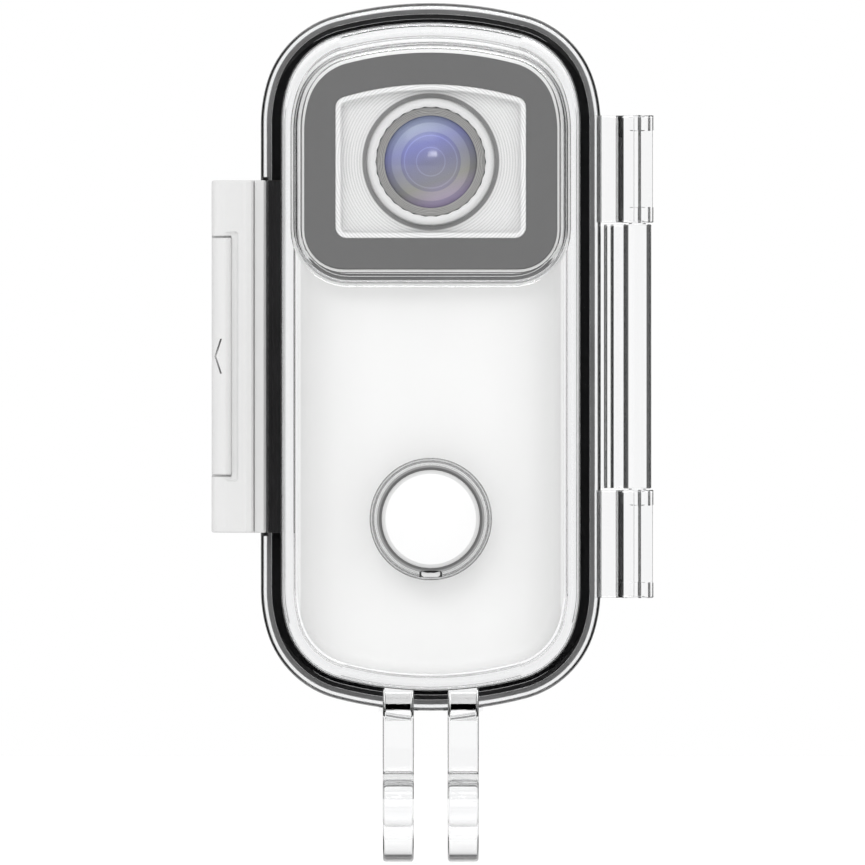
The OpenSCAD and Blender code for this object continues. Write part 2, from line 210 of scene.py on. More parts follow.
def bake(obj):
    """Replaces an object's mesh by what its modifiers make of it."""
    graph = bpy.context.evaluated_depsgraph_get()
    graph.update()
    mesh = bpy.data.meshes.new_from_object(obj.evaluated_get(graph), preserve_all_data_layers=True,
                                           depsgraph=graph)
    obj.modifiers.clear()
    obj.data = mesh
    return obj


def round_edges(obj, width, segments=3, angle=30):
    mod = obj.modifiers.new("round", "BEVEL")
    mod.width = width * MM
    mod.segments = segments
    mod.limit_method = "ANGLE"
    mod.angle_limit = math.radians(angle)
    mod.harden_normals = False
    return bake(obj)


def combine(obj, others, operation):
    """Takes the others from obj or adds them to it, one by one, and uses them up."""
    for other in others:
        mod = obj.modifiers.new("combine", "BOOLEAN")
        mod.operation = operation
        mod.solver = "EXACT"
        mod.object = other
        bake(obj)
        bpy.data.objects.remove(other)
        smooth(obj)
    return obj


def cut(obj, *others):
    return combine(obj, others, "DIFFERENCE")


def add(obj, *others):
    return combine(obj, others, "UNION")


def join(name, parts):
    """Puts several meshes into one object, as separate shells."""
    bm = bmesh.new()
    for part in parts:
        bm.from_mesh(part.data)
    obj = to_object(name, bm)
    for part in parts:
        bpy.data.objects.remove(part)
    return smooth(obj)


def cylinder(name, r, low, high, u, v, axis="Y", segments=96, bevel=0.0):
    return prism(name, circle(r, u, v, segments), low, high, axis, bevel, angle=50)


def block(name, x, y, z, bevel=0.0, segments=3):
    points = [(x[0], y[0]), (x[1], y[0]), (x[1], y[1]), (x[0], y[1])]
    return prism(name, points, z[0], z[1], "Z", bevel, segments)


# ------------------------ materials
def feed(tree, node, values):
    """Sets a node's inputs, or links them where the value is another node's output."""
    for key, value in values.items():
        if isinstance(value, bpy.types.NodeSocket):
            tree.links.new(value, node.inputs[key])
        else:
            node.inputs[key].default_value = value


def add_node(tree, kind, values=None, **settings):
    node = tree.nodes.new("ShaderNode" + kind)
    for key, value in settings.items():
        setattr(node, key, value)
    feed(tree, node, values or {})
    return node


def noise(tree, scale, detail):
    where = add_node(tree, "TexCoord").outputs["Object"]
    return add_node(tree, "TexNoise", {"Vector": where, "Scale": scale, "Detail": detail,
                                       "Roughness": 0.55}).outputs["Fac"]


def spread(tree, source, low, high):
    """Maps the middle of a noise's range to low to high."""
    return add_node(tree, "MapRange", {"Value": source, "From Min": 0.3, "From Max": 0.7, "To Min": low,
                                       "To Max": high}).outputs["Result"]


def bump(tree, source, strength, depth):
    return add_node(tree, "Bump", {"Height": source, "Strength": strength,
                                   "Distance": depth * MM}).outputs["Normal"]


def rgb(colour):
    return colour if isinstance(colour, tuple) else (colour, colour, colour)


def ramp(tree, source, stops):
    """Maps a signal to colours at its stops. A plain number is a grey."""
    node = add_node(tree, "ValToRGB", {"Fac": source})
    elements = node.color_ramp.elements
    while len(elements) < len(stops):
        elements.new(0.5)
    for element, (place, colour) in zip(elements, stops):
        element.position = place
        element.color = (*rgb(colour), 1)
    return node.outputs["Color"]


def multiply(tree, first, second):
    return add_node(tree, "Mix", {"Factor": 1.0, 6: first, 7: second}, data_type="RGBA",
                    blend_type="MULTIPLY").outputs[2]


def distance(tree, unit, centre_z, upright=1):
    """The distance from an axis along Y, in units of so many mm. With upright 0 only X counts."""
    flat = add_node(tree, "Mapping", {"Vector": add_node(tree, "TexCoord").outputs["Object"],
                                      "Location": (0, 0, -centre_z / unit * upright),
                                      "Scale": (1 / (unit * MM), 0, upright / (unit * MM))})
    return add_node(tree, "VectorMath", {0: flat.outputs["Vector"]}, operation="LENGTH").outputs["Value"]


def new_material(name):
    mat = bpy.data.materials.new(name)
    mat.use_nodes = True
    return mat, mat.node_tree


def finish(mat, **values):
    """Sets the shader's inputs, whose names are written with _ for a space."""
    tree = mat.node_tree
    feed(tree, tree.nodes["Principled BSDF"], {key.replace("_", " "): value for key, value in values.items()})
    return mat


def solid(name, colour, roughness, grain=5000.0, depth=0.01, strength=0.25, tone=0.03, metallic=0.0,
          specular=0.5):
    """A moulded or metal surface: a fine grain, faint patches of colour and uneven gloss."""
    mat, tree = new_material(name)
    patches = noise(tree, 180.0, 4.0)
    darker = tuple(c * (1 - tone) for c in rgb(colour))
    return finish(mat, Base_Color=ramp(tree, patches, [(0.35, darker), (0.65, colour)]),
                  Roughness=spread(tree, patches, roughness * 0.88, roughness * 1.12),
                  Normal=bump(tree, noise(tree, grain, 2.0), strength, depth),
                  Metallic=metallic, Specular_IOR_Level=specular)


def clear(name, tint=(0.985, 0.987, 0.99), edge=(0.13, 0.132, 0.135), start=0.3, ior=1.45):
    """Clear moulded plastic, whose colour is painted darker where it is seen edge on: painted dark edges, in
    place of the dark surroundings that such edges reflect and bend into view.
    """
    mat, tree = new_material(name)
    facing = add_node(tree, "LayerWeight", {"Blend": 0.5}).outputs["Facing"]
    waves = noise(tree, 60.0, 2.0)
    return finish(mat, Base_Color=ramp(tree, facing, [(start, tint), (0.92, edge)]),
                  Roughness=spread(tree, waves, 0.0, 0.012), Normal=bump(tree, waves, 0.03, 0.05),
                  Transmission_Weight=1.0, IOR=ior)


def shade(mat, tones):
    """Multiplies a material's colour by tones."""
    tree = mat.node_tree
    old = tree.nodes["Principled BSDF"].inputs["Base Color"].links[0].from_socket
    return finish(mat, Base_Color=multiply(tree, old, tones))


def by_radius(mat, stops, reach, centre_z, upright=1):
    """Shades a material by tones set at distances, in mm, from an axis along Y."""
    tree = mat.node_tree
    far = distance(tree, reach, centre_z, upright)
    return shade(mat, ramp(tree, far, [(r / reach, tone) for r, tone in stops]))


def turned_lines(mat, pitch, dark, centre_z, width):
    """Darkens fine round lines, a pitch apart in mm, about an axis along Y."""
    tree = mat.node_tree
    part = add_node(tree, "Math", {0: distance(tree, pitch, centre_z)}, operation="FRACT").outputs[0]
    return shade(mat, ramp(tree, part, [(0.0, dark), (width / 2, 1.0), (1 - width / 2, 1.0), (1.0, dark)]))


def moulded(name, level, roughness=0.4, depth=0.004, tone=0.01, specular=0.3):
    """A pale plastic with a very fine grain."""
    return solid(name, level, roughness, depth=depth, tone=tone, specular=specular)


def white(name, colour=(0.82, 0.82, 0.815), specular=0.2):
    return solid(name, colour, 0.5, tone=0.012, specular=specular)


WHITE = white("white plastic")
# The front cover is painted a little greyer towards its left and right sides: painted shade where its crowned
# face turns from the light.
COVER_WHITE_SIDE_SHADE = by_radius(white("camera cover plastic, painted side shade"),
                        [(0, 1.0), (5.0, 1.0), (7.0, 0.972), (8.7, 0.93), (10.9, 0.82), (11.85, 0.77),
                         (12.0, 0.97)], 12.4, 0, upright=0)
LATCH_WHITE = white("latch plastic", (0.68, 0.68, 0.678), 0.25)
WHITE_GLOSS = moulded("white gloss plastic", 0.66, 0.35)
RECESS_WHITE = turned_lines(moulded("grooved white plastic", 0.74), 0.25, 0.76, LENS_Z, 0.7)
# The button cap is painted darker on its sloping edge, from 4.2 mm out: painted shade.
CAP_WHITE_EDGE_SHADE = by_radius(moulded("white button plastic, painted edge shade", 0.8, specular=0.2),
                      [(4.1, 1.0), (4.2, 0.8), (4.45, 0.74)], 5.0, BUTTON_Z)
# The lens ring is painted darker down its outer slope and dark on the ledge in the gap outside it: painted
# shade.
LENS_RING_WHITE_GAP_SHADE = by_radius(moulded("lens ring plastic, painted gap shade", 0.63),
                            [(5.45, 1.0), (5.75, 0.86), (5.88, 0.5), (6.2, 0.42), (6.26, 0.6)], 6.4, LENS_Z)
KEY_GREY = moulded("pale key plastic", 0.62, depth=0.01, tone=0.04, specular=0.2)
GREY = solid("grey face plastic", 0.138, 0.6, tone=0.02, strength=0.08, specular=0.1)
# The sleeve is painted darker on its inner slope, inside 4.7 mm, where it runs down to the cap: painted
# shade.
SLEEVE = by_radius(solid("grey rubber sleeve, painted slope shade", 0.3, 0.6, tone=0.04, specular=0.1),
                   [(4.7, 0.52), (4.74, 0.95)], 5.0, BUTTON_Z)
SLEEVE_DARK = solid("dark rubber", 0.06, 0.6, tone=0.1, specular=0.1)
RIBBED_GREY = turned_lines(solid("grey ribbed ring", (0.52, 0.515, 0.505), 0.5, tone=0.02, specular=0.2),
                           0.148, 0.5, LENS_Z, 0.8)
# The ribbed ring's innermost step, next to the glass, is painted lighter: a painted highlight along its inner
# edge.
GREY_METAL_LIT_EDGE = by_radius(RIBBED_GREY, [(4.23, 1.15), (4.32, 1.15), (4.35, 0.95), (5.1, 0.95)], 5.2, LENS_Z)
BLACK_RUBBER = solid("black rubber", (0.004, 0.004, 0.0045), 0.6, 2600.0, 0.03, 0.4, 0.3, specular=0.06)
# Grey for the seal's rim, and for the painted shade line under the window frame.
RIM_RUBBER_AND_SHADE_LINE = solid("grey seal rim and shade line", (0.15, 0.15, 0.151), 0.6, 2600.0, 0.03, 0.4, 0.2, specular=0.1)
LIP_RUBBER = solid("dark seal lip", (0.035, 0.035, 0.036), 0.6, 2600.0, 0.03, 0.4, 0.2, specular=0.1)
# Black for the catch strip, which is painted shade.
STRIP_BLACK_PAINTED_SHADE = solid("black strip, painted shade", (0.014, 0.014, 0.015), 0.5, 2600.0, 0.02, 0.3, 0.3, specular=0.25)
PAD_RUBBER = solid("soft pad rubber", (0.03, 0.03, 0.031), 0.8, 1800.0, 0.04, 0.4, 0.3, specular=0.12)
BLACK = solid("black plastic", (0.016, 0.016, 0.018), 0.45, tone=0.2)
STEEL = solid("brushed steel", (0.6, 0.61, 0.62), 0.28, 7000.0, 0.006, 0.3, 0.08, metallic=1.0)
ALLOY = solid("satin alloy", (0.55, 0.56, 0.58), 0.38, metallic=1.0, tone=0.08)
BOARD = solid("lacquered board", (0.02, 0.13, 0.08), 0.3, 900.0, 0.02, 0.3, 0.25)
COPPER = solid("copper foil", (0.72, 0.42, 0.22), 0.3, metallic=1.0, tone=0.12)
CLEAR = clear("clear plastic")
# The collar is painted slightly grey between its fine groove and its outer edge, and dark in both: painted
# shade.
COLLAR_CLEAR_GROOVE_SHADE = by_radius(clear("collar plastic, painted groove shade"),
                         [(5.2, 1.0), (5.27, 0.4), (5.33, 0.4), (5.4, 0.85), (5.49, 0.8), (5.54, 0.22),
                          (5.6, 0.22), (5.66, 1.0)], 6.2, BUTTON_Z)
CLEAR_WINDOW = clear("window glass", (0.99, 0.992, 0.994), (0.25, 0.255, 0.26), 0.6, 1.3)

CAD_MATERIALS = {
    "clear_plastic": CLEAR, "window_glass": CLEAR_WINDOW, "lens_glass": CLEAR_WINDOW, "steel": STEEL,
    "black_rubber": BLACK_RUBBER, "white_plastic": WHITE, "white_gloss": WHITE_GLOSS,
    "grey_plastic": GREY, "grey_metal": GREY_METAL_LIT_EDGE, "black_plastic": BLACK, "board": BOARD,
    "alloy": ALLOY, "copper": COPPER,
}


def dress_cad_nodes():
    """Gives every CAD node the finish of its material slot."""
    slots = {s["node"]: s["material_slot"] for s in frame["record"]["subparts"]}
    for name, obj in frame["nodes"].items():
        obj.data.materials.clear()
        obj.data.materials.append(CAD_MATERIALS[slots[name]])


def piece(obj, material, body, slot, *nodes):
    """Makes a visible piece: gives it its finish, hangs it on the body it rides on and hides the CAD nodes it
    stands for.
    """
    flats = obj.modifiers.new("flats", "WEIGHTED_NORMAL")
    flats.keep_sharp = True
    flats.weight = 90
    bake(obj)
    if not obj.data.materials:
        obj.data.materials.append(material)
    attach(obj, body)
    if nodes:
        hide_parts(*nodes)
    obj.visible_shadow = obj.visible_diffuse = material not in (CLEAR, COLLAR_CLEAR_GROOVE_SHADE, CLEAR_WINDOW)


# ------------------------ the clear housing
EDGE_R = 0.3
FLANGE_Y = box_mm("catch_strip")[1][1]
LATCH_LOW, LATCH_HIGH = box_mm("latch_frame")
STRIP_LOW, STRIP_HIGH = box_mm("catch_strip")
BEVEL_X = -14.9
BEVEL_Y = 2.0
HINGE_X = 19.0
KNUCKLES = ((18.4, 28.35), (52.9, 62.8))
BARREL_Z = (28.47, 52.78)
PIN_R = 0.8
FORK_HOLE_R = 2.6


def turned(name, z_points, x, y, segments=64):
    """A turned post along Z from (z, radius) points."""
    return from_rings(name, [[(u, v, z) for u, v in circle(r, x, y, segments)] for z, r in z_points])


def vee(x, half, y0, y1):
    """A lengthwise groove's section: open from x - half to x + half at y0, and closed at y1."""
    return [(x - half, y0), (x + half, y0), (x, y1)]


def shell_knuckle(z):
    """An outer hinge knuckle: a barrel with a collar at each end, on a flat arm."""
    low, high, collar = z[0], z[1], 1.45
    barrel = block("barrel", (17.3, HINGE_X + 1.42), (SEAM_Y - 1.42, SEAM_Y + 1.3),
                   (low + 0.1, high - 0.1), 0.16)
    for start, end in ((low, low + collar), (high - collar, high)):
        post = [(start, 1.4), (start + 0.08, 1.5), (end - 0.04, 1.5), (end, 1.44)]
        add(barrel, turned("collar", post, HINGE_X, SEAM_Y))
    add(barrel, block("knuckle_arm", (HALF_W - 0.8, HINGE_X - 0.3), (SEAM_Y - 1.75, SEAM_Y - 0.02),
                      (low + 0.04, high - 0.04), 0.15))
    waist = [(17.0, SEAM_Y - 2.2), (17.0, SEAM_Y - 1.75), (17.72, SEAM_Y - 0.6), (17.74, SEAM_Y - 2.2)]
    middle_line = vee(19.2, 0.2, SEAM_Y - 1.6, SEAM_Y - 1.02)
    collar_line = vee(20.08, 0.14, SEAM_Y - 1.6, SEAM_Y - 0.75)
    for groove, start, end in ((waist, low - 1, high + 1), (middle_line, low - 1, high + 1),
                               (collar_line, low - 1, low + collar), (collar_line, high - collar, high + 1)):
        cut(barrel, prism("groove", groove, start, end))
    for end in (low, high):
        cut(barrel, cylinder("recess", PIN_R, end - 0.2, end + 0.2, HINGE_X, SEAM_Y, "Z", 48))
    return barrel


def hinge_root(z):
    """The ribbed foot of a knuckle's arm, on the flange's front."""
    x0, x1, y = 15.16, 15.72, FLANGE_Y - 0.3
    outline = [(x0, y + 0.05), (x0 + 0.05, y)]
    for i in range(3):
        x = x0 + 0.1 + i * 0.14
        outline += [(x, y), (x + 0.05, y + 0.16), (x + 0.1, y)]
    outline += [(x1 - 0.05, y), (x1, y + 0.05), (x1, SEAM_Y - 1.0), (HALF_W + 0.02, SEAM_Y - 1.0),
                (HALF_W + 0.02, FLANGE_Y - CLEAR_GAP), (x0, FLANGE_Y - CLEAR_GAP)]
    return prism("hinge_root", outline, z[0] + 0.04, z[1] - 0.04)


def door_knuckle(z):
    """The door's knuckle: a plain barrel on a flat arm with two lengthwise grooves."""
    posts = [(z[0], 1.2), (z[0] + 0.08, 1.3), (z[1] - 0.08, 1.3), (z[1], 1.2)]
    barrel = turned("knuckle", posts, HINGE_X, SEAM_Y)
    add(barrel, block("knuckle_arm", (HALF_W - 0.8, HINGE_X - 0.3), (SEAM_Y + 0.12, SEAM_Y + 1.2),
                      (z[0] + 0.04, z[1] - 0.04), 0.15))
    for x0, x1 in ((15.88, 16.29), (16.48, 16.88)):
        groove = [(x0, SEAM_Y), (x1, SEAM_Y), ((x0 + x1) / 2, SEAM_Y + 0.5)]
        cut(barrel, prism("groove", groove, z[0] - 1, z[1] + 1))
    return barrel


def front_shell():
    """A deep clear cup with rounded edges, a flange along the seam and the outer hinge knuckles."""
    front, inner = CASE_FRONT, CASE_FRONT + FACE_WALL
    profile = [(BODY_D + 1.5, front)] + fillet(BODY_D + EDGE_R, front + EDGE_R, EDGE_R, 270, 180, 8)
    profile += [(BODY_D, FLANGE_Y - 0.04), (BODY_D - 0.04, FLANGE_Y)]
    profile += [(inset, FLANGE_Y + y) for inset, y in ((0.34, 0), (0.26, 0.03), (0.19, 0.12), (0.12, 0.3),
                                                       (0.05, 0.55), (0.0, 0.85))]
    profile += [(0.0, SEAM_Y - 0.14), (0.14, SEAM_Y), (WALL_D - 0.1, SEAM_Y), (WALL_D, SEAM_Y - 0.1)]
    profile += fillet(WALL_D + 0.12, inner + 0.12, 0.12, 180, 270, 4)
    shell = sweep("front_shell_clear", case_outline, profile)
    add(shell, *[shell_knuckle(z) for z in KNUCKLES])
    slant = [(BEVEL_X, FLANGE_Y - 1), (BEVEL_X, FLANGE_Y), (-HALF_W, FLANGE_Y + BEVEL_Y),
             (-HALF_W - 1, FLANGE_Y + BEVEL_Y), (-HALF_W - 1, FLANGE_Y - 1)]
    cut(shell, prism("slant", slant, LATCH_LOW[2] - 0.3, LATCH_HIGH[2] + 0.3),
        prism("opening", window_outline(0.0), CASE_FRONT - 1, inner + 1, "Y"),
        cylinder("guide", STEM_R + 0.06, front - 1, inner + 1, 0, BUTTON_Z))
    piece(shell, CLEAR, "case", "clear_plastic", "front_shell")


# The lens window stands out on a raised frame.
BOSS_LOW, BOSS_HIGH = box_mm("window_frame")
BOSS_W = BOSS_HIGH[0]
WINDOW_LOW, WINDOW_HIGH = box_mm("lens_window")
WINDOW_W = WINDOW_HIGH[0]
STEM_R = 1.4


def boss_outline(d):
    return panel_outline(BOSS_W, BOSS_LOW[2], BOSS_HIGH[2], 5.0, d)


def window_outline(d):
    return panel_outline(WINDOW_W, WINDOW_LOW[2], WINDOW_HIGH[2], 3.9, d)


def window_frame():
    """The raised frame round the window, with a drafted wall on a rounded foot."""
    wall = BOSS_W - WINDOW_W - CLEAR_GAP
    r = 0.3
    back = CASE_FRONT - CLEAR_GAP
    front = BOSS_LOW[1]
    foot, draft = 0.35, 0.16
    profile = [(-foot, back)] + fillet(-foot, back - foot, foot, 90, 0, 6)[1:]
    profile += fillet(draft + r, front + r, r, 180, 270, 6)
    profile += [(wall - 0.05, front), (wall, front + 0.05), (wall, back)]
    ring = sweep("window_frame_clear", boss_outline, profile, closed=True)
    piece(ring, CLEAR, "case", "clear_plastic", "window_frame")


def window_foot_shade():
    """A grey line of painted shade inside the foot of the window frame, along its lower edge, which thins out
    round its lower corners.
    """
    y0, y1 = CASE_FRONT - 0.4, CASE_FRONT - 0.25
    outer, inner, rise = 0.45, 0.85, 2.2
    near, far = [], []
    for (x0, z0), (x1, z1) in zip(boss_outline(outer), boss_outline(inner)):
        keep = 1 - (z0 - BOSS_LOW[2] - outer) / rise
        if keep > 0:
            near.append((x0, z0))
            far.append((x0 + (x1 - x0) * keep, z0 + (z1 - z0) * keep))
    order = sorted(range(len(near)), key=lambda i: near[i][0])
    outline = [near[i] for i in order] + [far[i] for i in reversed(order)]
    piece(prism("window_foot_shade_line", outline, y0, y1, "Y"), RIM_RUBBER_AND_SHADE_LINE, "case", "black_rubber")


def hinge_roots():
    strips = join("hinge_root_ribs", [hinge_root(z) for z in KNUCKLES])
    piece(strips, CLEAR, "case", "clear_plastic")


def lens_window():
    y0, y1, edge = WINDOW_LOW[1], WINDOW_HIGH[1], 0.08
    profile = [(edge, y0), (0.0, y0 + edge), (0.0, y1 - edge), (edge, y1)]
    pane = sweep("lens_window_pane", window_outline, profile)
    piece(pane, CLEAR_WINDOW, "case", "window_glass", "lens_window")


def root_web(x, way, top):
    """A small round between a prong's side and the case's lower edge."""
    r = 0.4
    curve = [(x + way * (r - cos), top - r + sin) for cos, sin in fillet(0, 0, r, 0, 90)]
    outline = [(x - way * 0.3, top - r)] + curve + [(x + way * r, top + 0.3), (x - way * 0.3, top + 0.3)]
    return prism("web", outline, FLANGE_Y - 0.2, 5.4, "Y")


def mount_fork():
    """Two prongs with a cross hole, whose thick roots run up in front of the case's flange."""
    low, high = box_mm("mount_fork")
    prong_r, root_front = -low[2], low[1]
    prong_t, gap, drop = 2.85, 3.1, 0.45
    case_z = CASE_Z - HALF_H
    root_z = case_z - drop
    top = high[2] + 0.4
    prongs = []
    for side in (-1, 1):
        outline = fillet(0, 0, prong_r, 180, 360, 36)
        outline += [(prong_r, case_z + 0.15), (FLANGE_Y - 0.05, case_z + 0.15), (FLANGE_Y - 3.3, top),
                    (root_front, top), (root_front, root_z + 0.4), (-prong_r, root_z - 0.4)]
        x0, x1 = sorted((side * gap / 2, side * (gap / 2 + prong_t)))
        prong = prism("prong", outline, x0, x1, "X")
        cut(prong, cylinder("hole", FORK_HOLE_R, x0 - 1, x1 + 1, 0, 0, "X", 96))
        prongs.append(round_edges(prong, 0.3, 4, 40))
    fork = add(*prongs)
    for x, way in ((-gap / 2 - prong_t, -1), (-gap / 2, 1), (gap / 2, -1), (gap / 2 + prong_t, 1)):
        add(fork, root_web(x, way, case_z))
    for inset, start in ((BODY_D, CASE_FRONT), (0.0, FLANGE_Y - CLEAR_GAP)):
        cut(fork, sweep("case", case_outline, [(inset - CLEAR_GAP, start), (inset - CLEAR_GAP, CASE_BACK)]))
    fork.name = "mount_fork_clear"
    piece(fork, CLEAR, "case", "clear_plastic", "mount_fork")


def hinge_pin():
    """The clear pin where it shows, in the two gaps between the knuckles."""
    gaps = ((KNUCKLES[0][1], BARREL_Z[0]), (BARREL_Z[1], KNUCKLES[1][0]))
    pins = [cylinder("pin", PIN_R, z0 + CLEAR_GAP, z1 - CLEAR_GAP, HINGE_X, SEAM_Y, "Z", 64)
            for z0, z1 in gaps]
    piece(join("hinge_pin_rod", pins), CLEAR, "case", "clear_plastic", "hinge_pin")


def back_door():
    """The clear door: a flange, a shallow dish and the middle hinge knuckle."""
    y0 = SEAM_Y + 0.1
    flange_back = y0 + 2.1
    r = 0.9
    inner = CASE_BACK - FACE_WALL
    profile = fillet(WALL_D + 0.3, inner - 0.3, 0.3, 90, 180, 5)
    profile += [(WALL_D, y0 + 0.1), (WALL_D - 0.1, y0), (1.9, y0), (1.9, y0 + 0.9), (1.0, y0 + 0.9),
                (1.0, y0 + 0.3), (0.58, y0 + 0.3), (0.58, y0), (0.14, y0), (0.0, y0 + 0.14)]
    profile += [(inset, flange_back + y) for inset, y in (
        (0.0, -0.66), (0.06, -0.52), (0.2, -0.46), (0.56, -0.46), (0.6, -0.43), (0.98, -0.03), (1.04, 0),
        (BODY_D - 0.2, 0), (BODY_D - 0.06, 0.06), (BODY_D, 0.2))]
    profile += fillet(BODY_D + r, CASE_BACK - r, r, 180, 90, 10)
    door = sweep("back_door_clear", case_outline, profile)
    add(door, door_knuckle(BARREL_Z))
    x, y = LATCH_PIVOT
    for z0, z1 in LUG_Z:
        lug = cylinder("lug", 1.25, z0, z1, x, y, "Z", 48, 0.1)
        add(lug, block("arm", (x, BODY_D - HALF_W + 0.6), (y - 0.85, y + 0.85), (z0 + 0.02, z1 - 0.02), 0.1))
        cut(lug, cylinder("bore", 0.61, z0 - 1, z1 + 1, x, y, "Z", 32))
        add(door, lug)
    piece(door, CLEAR, "door", "clear_plastic", "back_door")


def seal_ring(name, profile):
    """A closed ring along the case outline, from (inset, shift, y) points.

    The shift moves a point in further where the outline runs level, at the top and the bottom.
    """
    near, far = case_outline(0.0), case_outline(1.0)
    rings = []
    for inset, shift, y in profile:
        ring = []
        for (x0, z0), (x1, z1) in zip(near, far):
            level = min(max((abs(z1 - z0) - 0.1) / 0.8, 0.0), 1.0)
            d = inset + shift * level * level * (3 - 2 * level)
            ring.append((x0 + (x1 - x0) * d, y, z0 + (z1 - z0) * d))
        rings.append(ring)
    return from_rings(name, rings, closed=True)


def door_gasket():
    """A black seal in the door's groove, which is wide at the sides and narrow above and below."""
    y0, y1 = GASKET_LOW[1], GASKET_LOW[1] + 0.55
    outer, inner, shift = 1.04, 1.89, 0.42
    profile = [(outer + 0.03, shift, y0), (outer, shift, y0 + 0.03), (outer, shift, y1 - 0.03),
               (outer + 0.03, shift, y1), (inner - 0.03, 0.0, y1), (inner, 0.0, y1 - 0.03),
               (inner, 0.0, y0 + 0.03), (inner - 0.03, 0.0, y0)]
    piece(seal_ring("door_gasket_seal", profile), BLACK_RUBBER, "door", "black_rubber", "door_gasket")


def gasket_lip():
    """The seal's thin outer lip, at the back of the groove."""
    y0, y1 = GASKET_LOW[1] + 0.6, GASKET_HIGH[1] - 0.02
    outer, inner = 1.02, 1.44
    profile = [(outer + 0.04, 0.0, y0), (outer, 0.0, y0 + 0.04), (outer, 0.0, y1), (inner, 0.0, y1),
               (inner, 0.0, y0 + 0.04), (inner - 0.04, 0.0, y0)]
    piece(seal_ring("door_gasket_lip", profile), LIP_RUBBER, "door", "black_rubber")


def gasket_rim():
    """The seal's flat outer rim, in a shallow step of the door."""
    y0 = SEAM_Y + 0.12
    profile = [(0.6, 0.0, y0 + 0.26), (0.6, 0.0, y0 + 0.03), (0.63, 0.0, y0), (0.97, 0.0, y0),
               (0.99, 0.0, y0 + 0.03), (0.99, 0.0, y0 + 0.26)]
    piece(seal_ring("door_gasket_rim", profile), RIM_RUBBER_AND_SHADE_LINE, "door", "black_rubber")


# ------------------------ the latch
LATCH_PIVOT = (-18.2, 8.9)
LUG_Z = ((31, 35), (46, 50))
POCKET_Z = (29.1, 52.1)
POCKET_X = -17.68
POCKET_BACK = 7.3
LOCK_X = -18.32
LOCK_Z = (box_mm("latch_lock")[0][2], box_mm("latch_lock")[1][2])


def latch_frame():
    """The white lever, with a raised ridge, a flat lip and a pocket for the sliding lock."""
    low, high = LATCH_LOW, LATCH_HIGH
    out, tip, front = low[0], high[0], low[1]
    outline = [(tip, 2.72), (tip, front + 0.9), (tip - 0.25, front + 0.55), (-16.25, front + 0.45),
               (-16.35, front + 0.1), (-16.5, front), (-16.95, front), (-17.12, front + 0.12),
               (-17.35, front + 0.22), (-18.6, front + 0.42), (-19.4, front + 0.8), (out + 0.25, front + 1.4),
               (out, front + 2.3), (out, 9.5), (out + 0.2, 10.05), (out + 0.6, 10.45), (out + 1.2, 10.7),
               (-18.2, 10.8), (-17.3, 10.65), (-16.8, 10.3), (-16.25, 9.4), (-16.05, 8.6), (-15.85, 8.0),
               (-15.85, FLANGE_Y + BEVEL_Y + 0.5), (-HALF_W - 0.22, FLANGE_Y + BEVEL_Y)]
    lever = prism("latch_lever", outline, low[2], high[2], "Z", 0.22, 3, 50)
    slot_z = (LOCK_Z[0] - 0.2, LOCK_Z[1] + 0.2)
    cut(lever, block("recess", (out - 1, POCKET_X), (front - 1, front + 0.62), POCKET_Z, 0.3),
        block("slot", (out - 1, LOCK_X + 0.012), (front - 1, POCKET_BACK), slot_z, 0.04),
        block("pocket", (out - 1, POCKET_X), (2.84, POCKET_BACK), slot_z, 0.04),
        prism("groove", [(-16.32, front), (-16.1, front), (-16.22, front + 0.68)], low[2] - 1, high[2] + 1))
    for z0, z1 in LUG_Z:
        reach = (z0 - 0.25, z1 + 0.25)
        cut(lever, cylinder("gap", 1.5, *reach, *LATCH_PIVOT, "Z", 48),
            block("gap", (out - 1, -15.0), (LATCH_PIVOT[1] - 1.5, 12.0), reach))
    cut(lever, cylinder("bore", 0.66, low[2] - 1, high[2] + 1, *LATCH_PIVOT, "Z", 32))
    piece(lever, LATCH_WHITE, "latch", "white_plastic", "latch_frame")


def latch_lock():
    """The sliding lock in the latch's pocket, with a chevron cut in its front."""
    low, high = box_mm("latch_lock")
    out, front, back = low[0], low[1], high[1]
    outline = [(LOCK_X, front + 0.25), (-18.55, front + 0.06), (-18.9, front), (-19.25, front + 0.25),
               (out + 0.3, front + 1.0), (out, front + 1.8), (out, back), (high[0], back),
               (high[0], back - 2.2), (LOCK_X, back - 2.6)]
    lock = prism("lock_slider", outline, low[2], high[2], "Z", 0.12, 3, 40)
    middle = (low[2] + high[2]) / 2
    for side in (-1, 1):
        cut(lock, chevron_arm(middle, side, front))
    piece(lock, LATCH_WHITE, "lock", "white_plastic", "latch_lock")


def chevron_arm(middle, side, front):
    """One slanted groove of the arrow mark, as a cutter through the lock's front."""
    tip_x, end_x, reach, width = -19.79, -19.27, 1.6, 0.085
    points = [(tip_x - width, middle), (tip_x + width, middle),
              (end_x + width, middle + side * reach), (end_x - width, middle + side * reach)]
    if side < 0:
        points.reverse()
    return prism("mark", points, front - 1.0, front + 1.28, "Y")


def catch_strip():
    """The black strip on the shell's side, with shallow lengthwise grooves: painted shade, standing for the
    shaded inner side of the latch seen through the clear wall.
    """
    (x0, y0, z0), (x1, y1, z1) = STRIP_LOW, STRIP_HIGH
    steps, depth = 7, 0.12
    outline = [(x0 + (x1 - x0) * i / steps, y0 + depth * (i % 2)) for i in range(steps + 1)]
    outline += [(x1, y1), (x0, y1)]
    strip = prism("catch_strip_painted_shade", outline, z0, z1, "Z", 0.05, 2, 40)
    piece(strip, STRIP_BLACK_PAINTED_SHADE, "case", "black_rubber", "catch_strip")


# ------------------------ the push button
COLLAR_LOW, COLLAR_HIGH = box_mm("button_collar")
CAP_FRONT = box_mm("push_button")[0][1]
KEY_W, KEYWAY_W = 1.05, 0.92
STEM_BACK = -10.33
SLEEVE_BACK = -13.42


